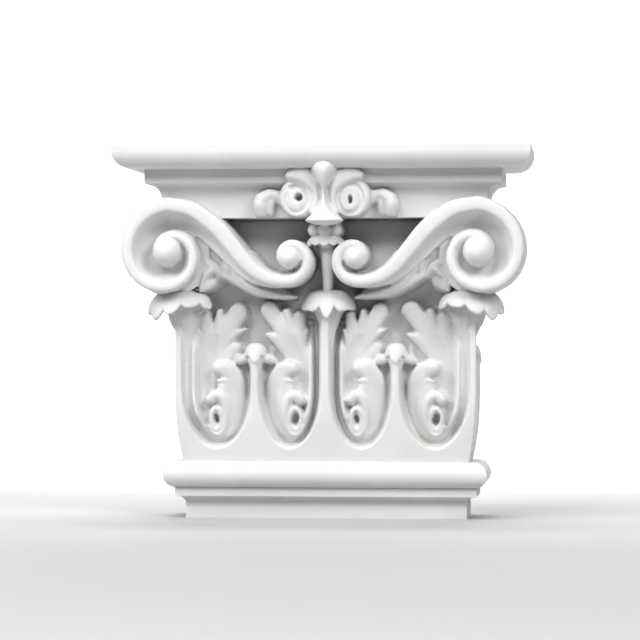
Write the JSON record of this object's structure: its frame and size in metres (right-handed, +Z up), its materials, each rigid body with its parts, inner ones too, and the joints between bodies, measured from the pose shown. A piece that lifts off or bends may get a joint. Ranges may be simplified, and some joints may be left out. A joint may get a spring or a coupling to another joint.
{
  "type": "pilaster capital",
  "caption": "White moulded pilaster capital with a square abacus, paired scrolls, a central flower and leaves in round-bottomed niches, flat at the back",
  "frame": {"origin": "middle of the footprint, on the flat underside that sits on the shaft", "axes": "+Z up, the carved front faces -Y, the flat back against the wall faces +Y, +X to the viewer's right"},
  "size_m": [0.2934, 0.1012, 0.264],
  "materials": {
    "white_cast": "matt white primed moulding"
  },
  "bodies": {
    "root": {"capital": "white_cast"}
  },
  "joints": []
}
